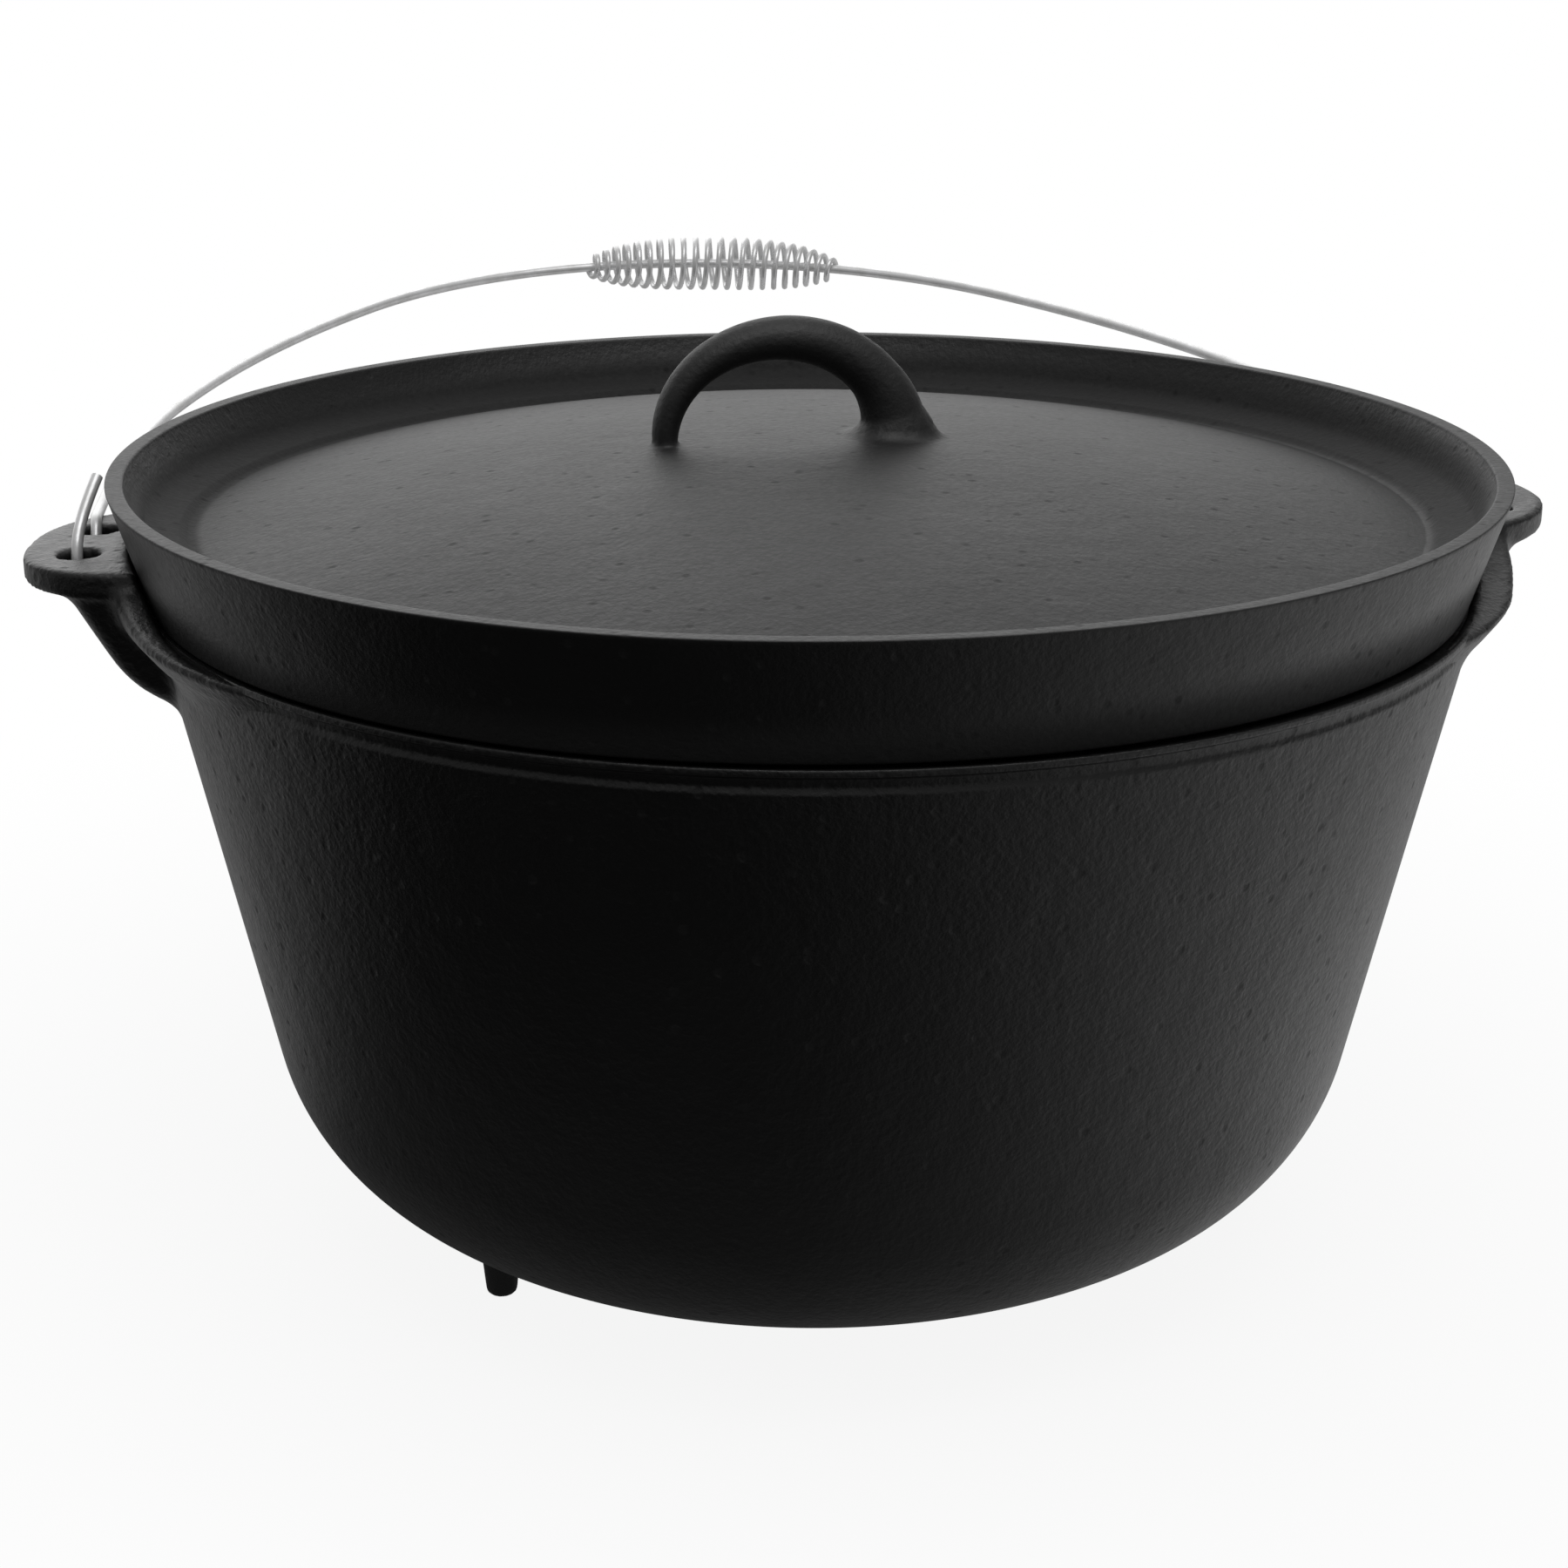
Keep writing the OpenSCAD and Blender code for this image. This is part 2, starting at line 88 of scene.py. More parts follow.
SEAM_FROM, SEAM_FULL = 34.0, 64.0
FADE_END, FADE = 112.0, 45.0
FILLETS = {"plate": 0.9, "rib": 4.0, "crest": 2.2, "under_plate": 2.5, "shoulder": 3.0, "wall": 4.0,
           "lid_room": 0.8, "hook_room": 1.5, "hole": 0.5, "leg": 6.0, "leg_foot": 1.6}
ROOTED, HAIR, SLANT = 2.4, 0.02, 0.95
LEG_R, LEG_FOOT_R, LEG_ROOT_R, LEG_H = 105.67, 4.0, 5.5, 15.0
LEG_TURNS, LEG_BOX = (90, 210, 332), 15.0
EAR_STEP, LEG_STEP, AROUND = 1.1, 0.75, 240

# The finish of the iron changes between these distances, in metres: at the rim's radius, at the coal tray's
# radius and at the height of the lid's top edge.
RIM_FADE, TRAY_FADE, EDGE_FADE = (0.174, 0.178), (0.1605, 0.164), (0.2136, 0.2144)

# No two ears come out of the sand alike. For each: how far out it sits, how much its back leans in, how
# square and how slim its plan is, how far back it points, how far in its holes are, how far its shoulders
# stand off the lid, and where the middle of the lid is, which sits a little to one side.
LID_ASIDE = -1.2
RIGHT_EAR = {"aside": -1.8, "sweep": 0.0, "square": 2.0, "slim": 1.0, "back": 4.0, "hole_in": 2.7,
             "seam": 0.0, "lid_x": LID_ASIDE}
LEFT_EAR = {"aside": 1.9, "sweep": 0.13, "square": 2.5, "slim": 1.12, "back": 0.0, "hole_in": 0.0,
            "seam": 2.2, "lid_x": -LID_ASIDE}


def wall_r(z):
    """Radius of the pot's drafted wall at a height."""
    return RIM_R - (RIM_Z - z) * math.tan(DRAFT)


def skirt_r(z):
    """Radius of the lid's flared skirt at a height."""
    return SKIRT_R + (z - SEAT_Z) * SKIRT_FLARE / SKIRT_H


def bow(cx, cz, r, start, end, steps):
    """Points of an arc in a half section, with no fillet of their own."""
    angles = np.radians(np.linspace(start, end, steps + 1))
    return [(cx + r * math.cos(a), cz + r * math.sin(a), 0.0) for a in angles]


def filleted(corners, steps=6):
    """A half section as points, each corner (r, z, radius) turned into a curve of about that radius."""
    points = []
    for i, (r, z, fillet) in enumerate(corners):
        here = np.array([r, z])
        if fillet == 0 or i in (0, len(corners) - 1):
            points.append(here)
            continue
        back = np.array(corners[i - 1][:2]) - here
        ahead = np.array(corners[i + 1][:2]) - here
        room = min(np.linalg.norm(back), np.linalg.norm(ahead)) * 0.49
        back = back / np.linalg.norm(back)
        ahead = ahead / np.linalg.norm(ahead)
        half = math.acos(max(-1.0, min(1.0, float(back @ ahead)))) / 2
        if half > 1.55:
            points.append(here)
            continue
        cut = min(fillet / math.tan(half), room)
        start, end = here + back * cut, here + ahead * cut
        for t in np.linspace(0, 1, steps + 1):
            points.append((1 - t) ** 2 * start + 2 * t * (1 - t) * here + t * t * end)
    return np.array(points)


def turned(outline, around):
    """A closed shell of revolution from a half section whose two ends lie on the axis."""
    rings = outline[1:-1]
    angles = np.linspace(0, 2 * math.pi, around, endpoint=False)
    r, a = rings[:, 0][:, None], angles[None, :]
    z = np.repeat(rings[:, 1][:, None], around, axis=1)
    points = np.stack([r * np.cos(a), r * np.sin(a), z], -1).reshape(-1, 3)
    poles = np.array([[0, 0, outline[0][1]], [0, 0, outline[-1][1]]])
    here = np.arange(around)
    after = np.roll(here, -1)
    step = np.arange(len(rings) - 1)[:, None] * around
    sides = np.stack([step + here, step + after, step + around + after, step + around + here], -1)
    first, last = np.full(around, len(points)), np.full(around, len(points) + 1)
    top = (len(rings) - 1) * around
    start_fan = np.stack([first, after, here, here], -1)
    end_fan = np.stack([last, top + here, top + after, top + after], -1)
    return np.vstack([points, poles]), np.vstack([sides.reshape(-1, 4), start_fan, end_fan])


def spin(points, angle):
    """Points turned about the pot's axis."""
    c, s = math.cos(angle), math.sin(angle)
    return points @ np.array([[c, s, 0], [-s, c, 0], [0, 0, 1]])


def eased(value, start, end):
    """A smooth step from 0 at start to 1 at end."""
    t = np.clip((value - start) / (end - start), 0, 1)
    return t * t * (3 - 2 * t)


def soft_min(a, b, fillet):
    """Two fields joined, with a fillet between them."""
    h = np.clip(0.5 + 0.5 * (b - a) / fillet, 0, 1)
    return b * (1 - h) + a * h - fillet * h * (1 - h)


def soft_cut(a, b, fillet):
    """One field with another cut out of it, and the edge of the cut rounded."""
    return -soft_min(-a, b, fillet)


def rounded_edge(a, b, edge):
    """Where two fields are both inside, with the edge between them rounded."""
    u, v = a + edge, b + edge
    return np.minimum(np.maximum(u, v), 0) + np.hypot(np.maximum(u, 0), np.maximum(v, 0)) - edge


def section_field(points, u, v):
    """Signed distance to a closed flat outline, less than zero inside."""
    best = np.full(np.broadcast(u, v).shape, 1e9)
    inside = np.zeros(best.shape, bool)
    for i, (ax, ay) in enumerate(points):
        bx, by = points[i - 1]
        ex, ey = bx - ax, by - ay
        wx, wy = u - ax, v - ay
        t = np.clip((wx * ex + wy * ey) / (ex * ex + ey * ey), 0, 1)
        best = np.minimum(best, (wx - ex * t) ** 2 + (wy - ey * t) ** 2)
        inside ^= ((ay > v) != (by > v)) & (u < ex * (v - ay) / (ey or 1e-9) + ax)
    return np.where(inside, -1, 1) * np.sqrt(best)


def grid(low, high, step):
    """Sample points of a box, one array for each axis."""
    axes = [np.arange(a, b + step, step) for a, b in zip(low, high)]
    return np.meshgrid(*axes, indexing="ij")


def skin(field, low, step):
    """The closed surface where a field is zero."""
    volume = openvdb.FloatGrid(3.0)
    volume.copyFromArray(np.ascontiguousarray(np.clip(field / step, -3, 3), np.float32))
    points, tris, quads = volume.convertToPolygons(isovalue=0.0, adaptivity=0.0)
    tris = np.asarray(tris, int).reshape(-1, 3)
    faces = np.vstack([tris[:, [0, 1, 2, 2]], np.asarray(quads, int).reshape(-1, 4)])
    return points * step + np.array(low), faces


def outward(points, faces):
    """The same faces, four corners each, turned to point out of their shell."""
    a, b, c, d = (points[faces[:, i]] for i in range(4))
    volume = np.sum(a * np.cross(b, c)) + np.sum(a * np.cross(c, d))
    return faces if volume > 0 else faces[:, ::-1]


def casting(name, shells, material):
    """One object from closed shells in millimetres about the pot's axis."""
    points, faces, start = [], [], 0
    for shell_points, shell_faces in shells:
        for corners in (outward(shell_points, shell_faces) + start).tolist():
            faces.append(list(dict.fromkeys(corners)))
        points.append(shell_points)
        start += len(shell_points)
    mesh = bpy.data.meshes.new(name)
    mesh.from_pydata((np.vstack(points) * 0.001 + [0, AXIS_Y, 0]).tolist(), [], faces)
    mesh.shade_smooth()
    mesh.materials.append(material)
    piece = bpy.data.objects.new(name, mesh)
    scene.collection.objects.link(piece)
    return piece


class Flow:
    """A socket of a node tree, with maths written as Python expressions."""

    def __init__(self, tree, socket):
        self.tree, self.socket = tree, socket

    def maths(self, operation, a, b):
        return node(self.tree, "ShaderNodeMath", {"operation": operation}, {0: a, 1: b})

    def __add__(self, other):
        return self.maths("ADD", self, other)

    def __sub__(self, other):
        return self.maths("SUBTRACT", self, other)

    def __rsub__(self, other):
        return self.maths("SUBTRACT", other, self)

    def __mul__(self, other):
        return self.maths("MULTIPLY", self, other)

    def __truediv__(self, other):
        return self.maths("DIVIDE", self, other)

    def __pow__(self, other):
        return self.maths("POWER", self, other)

    __radd__ = __add__
    __rmul__ = __mul__


def node(tree, kind, settings, inputs, out=0):
    """A new node with its settings made first, then its sockets' values or links."""
    made = tree.nodes.new(kind)
    for key, value in settings.items():
        if key == "stops":
            while len(made.color_ramp.elements) < len(value):
                made.color_ramp.elements.new(0.5)
            for element, (place, grey) in zip(made.color_ramp.elements, value):
                element.position = place
                element.color = (grey, grey, grey, 1)
        else:
            setattr(made, key, value)
    for key, value in inputs.items():
        if isinstance(value, Flow):
            tree.links.new(value.socket, made.inputs[key])
        else:
            made.inputs[key].default_value = value
    return Flow(tree, made.outputs[out])


def ramp(value, start, end, ends=(0.0, 1.0), kind="SMOOTHSTEP"):
    """A value carried from one end to the other between start and end, and held there outside them."""
    return node(value.tree, "ShaderNodeMapRange", {"interpolation_type": kind},
                {"Value": value, "From Min": start, "From Max": end, "To Min": ends[0], "To Max": ends[1]})


def noise(where, scale, detail, roughness=0.5):
    """A noise texture's value at a place."""
    return node(where.tree, "ShaderNodeTexNoise", {},
                {"Vector": where, "Scale": scale, "Detail": detail, "Roughness": roughness})


def towards(where, direction):
    """How far a place or a heading goes in a fixed direction."""
    return node(where.tree, "ShaderNodeVectorMath", {"operation": "DOT_PRODUCT"},
                {0: where, 1: direction}, "Value")


def mixed(share, low, high):
    """A colour between two others."""
    return node(share.tree, "ShaderNodeMix", {"data_type": "RGBA"}, {0: share, 6: low, 7: high}, 2)


def new_material(name):
    """A material, its node tree and its shader, ready for links."""
    material = bpy.data.materials.new(name)
    material.use_nodes = True
    return material, material.node_tree, material.node_tree.nodes["Principled BSDF"]


def cast_iron(name, grain, tone, relief, dull, burnt):
    """Seasoned black iron as it leaves a sand mould: a pebbled skin, pinholes and an uneven oil cure."""
    bare = 0.45
    material, tree, shader = new_material(name)
    where = node(tree, "ShaderNodeTexCoord", {}, {}, "Object")
    sand = noise(where, grain, 2.0, 0.6)
    pins = node(tree, "ShaderNodeTexVoronoi", {}, {"Vector": where, "Scale": grain * 0.22})
    cure = noise(where, 14.0, 3.0, 0.6)
    swell = noise(where, 95.0, 1.0)
    pin = ramp(pins, 0.06, 0.2, (1.0, 0.0))
    shade = ramp(cure * 0.5 + sand * 0.5, 0.32, 0.68, kind="LINEAR")
    dark = (tone * 0.7, tone * 0.7, tone * 0.72, 1)
    light = (tone * 1.3, tone * 1.29, tone * 1.27, 1)
    colour = mixed(shade, dark, light)
    centred = node(tree, "ShaderNodeVectorMath", {"operation": "MULTIPLY_ADD"},
                   {0: where, 1: (1, 1, 0), 2: (0, -AXIS_Y, 0)})
    from_axis = node(tree, "ShaderNodeVectorMath", {"operation": "LENGTH"}, {0: centred}, "Value")
    within = ramp(from_axis, *RIM_FADE, (1.0, 0.0))
    on_edge = ramp(towards(where, (0, 0, 1)), *EDGE_FADE, kind="LINEAR")
    worn = within.maths("MAXIMUM", within, on_edge)
    tray = ramp(from_axis, *TRAY_FADE) * within
    rough = bare + worn * (dull - bare) + tray * burnt
    rough = rough + (cure - 0.5) * 0.08 - (sand - 0.5) * 0.15 + pin * 0.1
    height = sand + swell * 1.4 - pin * 0.5
    bump = node(tree, "ShaderNodeBump", {}, {"Strength": relief, "Distance": 0.0005, "Height": height})
    tree.links.new(colour.socket, shader.inputs["Base Color"])
    tree.links.new(rough.socket, shader.inputs["Roughness"])
    tree.links.new(bump.socket, shader.inputs["Normal"])
    shader.inputs["Specular IOR Level"].default_value = 0.62
    return material


slant_wall = WALL / math.cos(DRAFT)
round_x = wall_r(BASE_Z + CORNER_R) - CORNER_R / math.cos(DRAFT)
in_r = CORNER_R - WALL
in_z = BASE_Z + BOTTOM + in_r
in_x = wall_r(in_z) - slant_wall - in_r / math.cos(DRAFT)
band_z, blend_z = RIM_Z - BAND_H, RIM_Z - 2 * BAND_H
bowl_section = filleted(
    [(0, BASE_Z, 0)] + bow(round_x, BASE_Z + CORNER_R, CORNER_R, -90, -12, 30)
    + [(wall_r(band_z - 40), band_z - 40, 0), (wall_r(band_z) + 0.1, band_z, 1.6),
       (wall_r(band_z + BEAD_H) - NECK_IN, band_z + BEAD_H, 1.6),
       (wall_r(RIM_Z - NECK_H) - 0.6, RIM_Z - NECK_H, 1.2), (RIM_R + BEAD_OUT, RIM_Z - BEAD_H, 0.6),
       (RIM_R + BEAD_OUT, RIM_Z, 0.6), (RIM_R - 0.4, RIM_Z, 0.4),
       (RIM_R - LAND_DROP, RIM_Z - LAND_DROP, 0.3), (LAND_R, RIM_Z - LAND_DROP, 0.6),
       (LAND_R, RIM_Z - BAND_H / 2, 4.0), (wall_r(blend_z) - slant_wall, blend_z, 9.0)]
    + bow(in_x, in_z, in_r, -12, -90, 20) + [(0, BASE_Z + BOTTOM, 0)], 4)


def rib_outline():
    """Side view of an ear's rib: a hollow under the tip, a straight run and a foot curled into the wall."""
    down, back = math.sin(math.radians(RIB_SLOPE)), math.cos(math.radians(RIB_SLOPE))
    hollow = bow(HOLE_X + RIB_OUT, UNDER_Z - HOLLOW_R, HOLLOW_R, 90, 90 + RIB_SLOPE, 10)
    bend_x, bend_z = hollow[-1][0] - RIB_RUN * back, hollow[-1][1] - RIB_RUN * down
    curl = bow(bend_x - CURL_R * down, bend_z + CURL_R * back, CURL_R, RIB_SLOPE - 90, CURL_END, 14)
    tip_x, top_z = EAR_TIP - 6, UNDER_Z + 3
    return ([(tip_x, top_z), (tip_x, UNDER_Z)] + [point[:2] for point in hollow + curl]
            + [(RIB_ROOT, curl[-1][1] - 6), (RIB_ROOT, top_z)])


def shoulder_outline():
    """Cross section of the shoulder beside an ear: it flares out of the wall and stands round the skirt."""
    low_z, top_z = RIM_Z - SHOULDER_DROP, EAR_TOP + 2
    outer_r = skirt_r(EAR_TOP) + SHOULDER_CLEAR + SHOULDER_T
    inner_r = RIM_R - 4.5
    return [(wall_r(low_z) - 2.3, low_z), (wall_r(low_z) - 0.6, low_z),
            (RIM_R + 3.4, RIM_Z - SHOULDER_DROP / 2), (RIM_R + 8.2, RIM_Z),
            (outer_r - 0.4, RIM_Z + 4.1), (outer_r, top_z), (inner_r, top_z), (inner_r, RIM_Z - 2)]


def ear_field(x, y, z, ear):
    """Distance field of one ear on +X: plate, rib, shoulders, holes and the fillets between them."""
    r, side = np.hypot(x, y), np.abs(y)
    from_wall = (r - wall_r(z)) * math.cos(DRAFT)
    clear = SHOULDER_CLEAR + ear["seam"] * eased(side, SEAM_FROM, SEAM_FULL)
    lid_room = np.maximum((np.hypot(x - ear["lid_x"], y) - skirt_r(z) - clear) * SLANT, RIM_Z - z)
    share = np.clip((SHOULDER_HALF - np.maximum(side, CREST_FLAT)) / (SHOULDER_HALF - CREST_FLAT), 0, 1)
    crest = RIM_Z + CREST_UP * share ** CREST_FALL
    pulled = PULL_IN * np.clip((side - PULL_FROM) / (PULL_FULL - PULL_FROM), 0, 1) ** 1.7
    flare = section_field(shoulder_outline(), r + pulled, z)
    shoulder = rounded_edge(flare, (z - crest) * SLANT, FILLETS["crest"])

    x = x - ear["aside"] + ear["sweep"] * (y + HOLE_Y)
    power = ear["square"]
    reach = np.abs(x - (EAR_TIP - EAR_ROUND)) ** power + (np.abs(y - ear["back"]) * ear["slim"]) ** power
    plan = reach ** (1 / power) - EAR_ROUND
    plate = rounded_edge(plan, np.abs(z - EAR_TOP + EAR_T / 2) - EAR_T / 2, FILLETS["plate"])
    narrower = RIB_INSET + RIB_TAPER * np.clip(UNDER_Z - z, 0, RIB_DEEP)
    rib = rounded_edge(section_field(rib_outline(), x, z), plan + narrower, FILLETS["rib"])

    body = soft_min(soft_min(plate, rib, FILLETS["under_plate"]), shoulder, FILLETS["shoulder"])
    wall_fillet = FILLETS["wall"] * np.clip((FADE_END - side) / FADE, 0.02, 1)
    body = soft_min(body, np.maximum(from_wall, z - RIM_Z), wall_fillet)
    body = soft_cut(body, lid_room, FILLETS["lid_room"])
    hook_room = np.maximum(np.hypot(y, z - HINGE_Z) - HOOK_ROOM_R, z - UNDER_Z)
    hook_room = np.maximum(hook_room, HOLE_X - HOOK_ROOM_IN - x)
    body = soft_cut(body, hook_room, FILLETS["hook_room"])
    holes = np.hypot(x - HOLE_X + ear["hole_in"], side - HOLE_Y) - HOLE_R
    body = soft_cut(body, holes, FILLETS["hole"])
    sunk = SINK * np.clip((side - SINK_FROM) / (SINK_FULL - SINK_FROM), 0, 1) ** 1.5
    return np.maximum(body + HAIR + sunk, -from_wall - ROOTED * math.cos(DRAFT))


# Each field is closed off a little inside its box of samples, so that its skin has no open edge.
ear_low, ear_high = (128.0, -116.0, 148.0), (208.0, 116.0, 200.0)
ex, ey, ez = grid(ear_low, ear_high, EAR_STEP)
ear_ends = np.maximum(np.abs(ey) - (ear_high[1] - 2), ear_low[2] + 2 - ez)
ear_box = np.maximum(ear_ends, ear_low[0] + 2 - ex)
ears = []
for way, ear in ((1, RIGHT_EAR), (-1, LEFT_EAR)):
    ear_points, ear_faces = skin(np.maximum(ear_field(ex, ey, ez, ear), ear_box), ear_low, EAR_STEP)
    ears.append((ear_points * [way, 1, 1], ear_faces))

leg_low, leg_high = (LEG_R - LEG_BOX, -LEG_BOX, -2.0), (LEG_R + LEG_BOX, LEG_BOX, 20.0)
lx, ly, lz = grid(leg_low, leg_high, LEG_STEP)
leg_r = LEG_FOOT_R + (LEG_ROOT_R - LEG_FOOT_R) / LEG_H * lz
stub = rounded_edge(np.hypot(lx - LEG_R, ly) - leg_r, -lz, FILLETS["leg_foot"])
bottom_r = np.hypot(lx, ly)
bottom_round = np.hypot(bottom_r - round_x, lz - BASE_Z - CORNER_R) - CORNER_R
bottom = np.where(bottom_r < round_x, BASE_Z - lz, bottom_round)
leg = np.maximum(soft_min(stub, bottom, FILLETS["leg"]) + HAIR, -bottom - 3)
leg_sides = np.maximum(np.abs(lx - LEG_R), np.abs(ly)) - (LEG_BOX - 1)
leg_box = np.maximum(leg_sides, lz - (leg_high[2] - 1))
leg_points, leg_faces = skin(np.maximum(leg, leg_box), leg_low, LEG_STEP)
legs = [(spin(leg_points, math.radians(turn)), leg_faces) for turn in LEG_TURNS]

pot_iron = cast_iron("sand_cast_pot_iron", grain=560.0, tone=0.003, relief=0.6, dull=0.46, burnt=0.0)
pot_casting = casting("pot_casting", [turned(bowl_section, AROUND)] + ears + legs, pot_iron)
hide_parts("pot")
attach(pot_casting, "pot")

# Lid. One iron casting: a shallow dome inside a raised rim that holds coals, a skirt that flares up from
# the pot's seat, a lip underneath that keeps it centred, and a loop handle cast onto the dome.
# The loop is slim at its left foot, stout at its right one, and oval across.
LID_TOP, LID_T, LID_R, LID_RIM_T = SEAT_Z + SKIRT_H, 4.6, SKIRT_R + SKIRT_FLARE, 4.6
DOME_Z, TROUGH_Z, TROUGH_R = 218.2, 199.7, 162.0
TRAY_Z, TRAY_R = 203.2, 173.4
LIP_R, LIP_T, LIP_DEEP = LAND_R - 1.2, 3.5, 4.0
LOOP_HALF, LOOP_H, LOOP_SLIM, LOOP_T, LOOP_STOUT, LOOP_DEEP = 31.0, 26.5, 6.8, 11.6, 14.0, 13.5
LOOP_SHIFT, LOOP_BACK, LOOP_STEP = -6.7, 5.5, 0.7
SLIM_FILLET, STOUT_FILLET = 1.2, 3.0
LID_TURN, LID_AROUND = math.radians(2.0), 320
drop = DOME_Z - TROUGH_Z
dome_r = (TROUGH_R ** 2 + drop ** 2) / (2 * drop)
dome_half = math.degrees(math.asin(TROUGH_R / dome_r))
dome_c = DOME_Z - dome_r
rim_in = LID_R - LID_RIM_T
lid_section = filleted(
    [(0, DOME_Z, 0)] + bow(0, dome_c, dome_r, 90, 90 - dome_half + 0.6, 40)[1:]
    + [(TROUGH_R, TROUGH_Z - 0.3, 2.0), (TROUGH_R + 1.2, TROUGH_Z - 0.1, 2.0),
       (TROUGH_R + 3.2, TROUGH_Z + 1.4, 2.4), (TRAY_R, TRAY_Z, 4.5),
       (rim_in - 0.4, LID_TOP - 1.4, 0), (rim_in, LID_TOP, 0.8), (LID_R, LID_TOP, 0.4),
       (skirt_r(SEAT_Z + 14), SEAT_Z + 14, 0), (SKIRT_R, SEAT_Z, 1.2),
       (LIP_R, SEAT_Z, 0.6), (LIP_R, SEAT_Z - LIP_DEEP, 1.0), (LIP_R - LIP_T, SEAT_Z - LIP_DEEP, 1.0),
       (LIP_R - LIP_T, TROUGH_Z - LID_T * 1.4, 5.0)]
    + bow(0, dome_c, dome_r - LID_T, 90 - dome_half * 0.94, 90, 30)[:-1] + [(0, DOME_Z - LID_T, 0)])

loop_low, loop_high = (-56.0, -18.0, 196.0), (56.0, 22.0, 254.0)
gx, gy, gz = grid(loop_low, loop_high, LOOP_STEP)
flat_x, flat_z = gx[:, 0, :], gz[:, 0, :]
along = np.linspace(-12, 192, 260)
loop_x = LOOP_SHIFT - LOOP_HALF * np.cos(np.radians(along))
loop_z = DOME_Z + LOOP_H * np.sin(np.radians(along))
nearest = np.argmin((flat_x[..., None] - loop_x) ** 2 + (flat_z[..., None] - loop_z) ** 2, axis=-1)
in_plane = np.hypot(flat_x - loop_x[nearest], flat_z - loop_z[nearest])[:, None, :]
thick = np.interp(np.clip(along, 0, 180), [0, 90, 145, 168, 180],
                  [LOOP_SLIM, LOOP_T, LOOP_STOUT, LOOP_STOUT + 3, LOOP_STOUT + 10])
half_t = (thick / 2)[nearest][:, None, :]
half_d = ((LOOP_DEEP + (thick - LOOP_T) * 0.6) / 2)[nearest][:, None, :]
loop = (np.hypot(in_plane / half_t, (gy - LOOP_BACK) / half_d) - 1) * np.minimum(half_t, half_d)
dome = np.sqrt(gx ** 2 + gy ** 2 + (gz - dome_c) ** 2) - dome_r
foot_fillet = np.where(gx < LOOP_SHIFT, SLIM_FILLET, STOUT_FILLET)
loop = np.maximum(soft_min(loop, dome, foot_fillet) + HAIR, -dome - ROOTED)
loop_mid, loop_half = (loop_low[1] + loop_high[1]) / 2, (loop_high[1] - loop_low[1]) / 2
loop_sides = np.maximum(np.abs(gx) - (loop_high[0] - 1), np.abs(gy - loop_mid) - (loop_half - 1))
loop_box = np.maximum(loop_sides, loop_low[2] + 2 - gz)
loop_shell = skin(np.maximum(loop, loop_box), loop_low, LOOP_STEP)

lid_iron = cast_iron("sand_cast_lid_iron", grain=600.0, tone=0.0035, relief=0.42, dull=0.58, burnt=0.26)
lid_shells = [(spin(points, LID_TURN) + [LID_ASIDE, 0, 0], faces)
              for points, faces in (turned(lid_section, LID_AROUND), loop_shell)]
lid_casting = casting("lid_casting", lid_shells, lid_iron)
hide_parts("lid")
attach(lid_casting, "lid")

# Bail. One length of bright drawn steel wire, bent by hand over a former: each end drops through one hole
# of its ear, turns under the web and comes up through the other hole as a free tail.
# It lies back over the lid, a little askew, as a round arch between two straighter arms.
WIRE_D, HOOK_X, HOOK_R, SHANK = 3.0, 190.6, 9.9, 13.0
LEAN = math.radians(83.7)
ARCH_UP, ARCH_H, TOP_R, ARM_R, ARM_START = 1.4, 270.5, 138.0, 366.0, 30.0
BAIL_SHIFT, BAIL_YAW = -2.0, 0.039
HOOK_HALF, HOOK_FADE = 13.0, 123.0
LEFT_TAIL = {"length": 18.0, "lean_in": 3.4}
RIGHT_TAIL = {"length": 14.5, "lean_in": 2.0}
top_c = np.array([0, ARCH_H - TOP_R])
foot = np.array([HOOK_X, ARM_START])
far = np.linalg.norm(top_c - foot)
to_top = (top_c - foot) / far
span = (ARM_R ** 2 - (ARM_R - TOP_R) ** 2 + far ** 2) / (2 * far)
arm_c = foot + span * to_top + math.sqrt(ARM_R ** 2 - span ** 2) * np.array([-to_top[1], to_top[0]])
top_half = math.atan2(*(top_c - arm_c))
arm_end = math.atan2(*(foot - arm_c))


def on_arch(x, w):
    """A point of the bail's leaning plane, from its place across and along that plane."""
    return np.array([x, w * math.sin(LEAN), HINGE_Z + ARCH_UP + w * math.cos(LEAN)])


def on_hook(s, t):
    """A point of the hook through an ear, which leans half as far as the arch."""
    c, n = math.cos(LEAN / 2), math.sin(LEAN / 2)
    return np.array([HOOK_X, s * c + t * n, HINGE_Z - s * n + t * c])


def arch_arc(centre, radius, start, end, steps):
    """Points of an arc in the bail's plane, after its first one."""
    angles = np.linspace(start, end, steps)[1:]
    return [on_arch(centre[0] + radius * math.sin(a), centre[1] + radius * math.cos(a)) for a in angles]


def bezier(a, b, c, d, t):
    """A point of the smooth bend from a to d."""
    return (1 - t) ** 3 * a + 3 * t * (1 - t) ** 2 * b + 3 * t * t * (1 - t) * c + t ** 3 * d


def tail(length, lean_in):
    """A free end from its tip down to the hook, bent in towards the lid."""
    return [on_hook(-HOOK_R, length * s) - [lean_in * s ** 1.5, 0, 0] for s in np.linspace(1, 0.1, 14)]


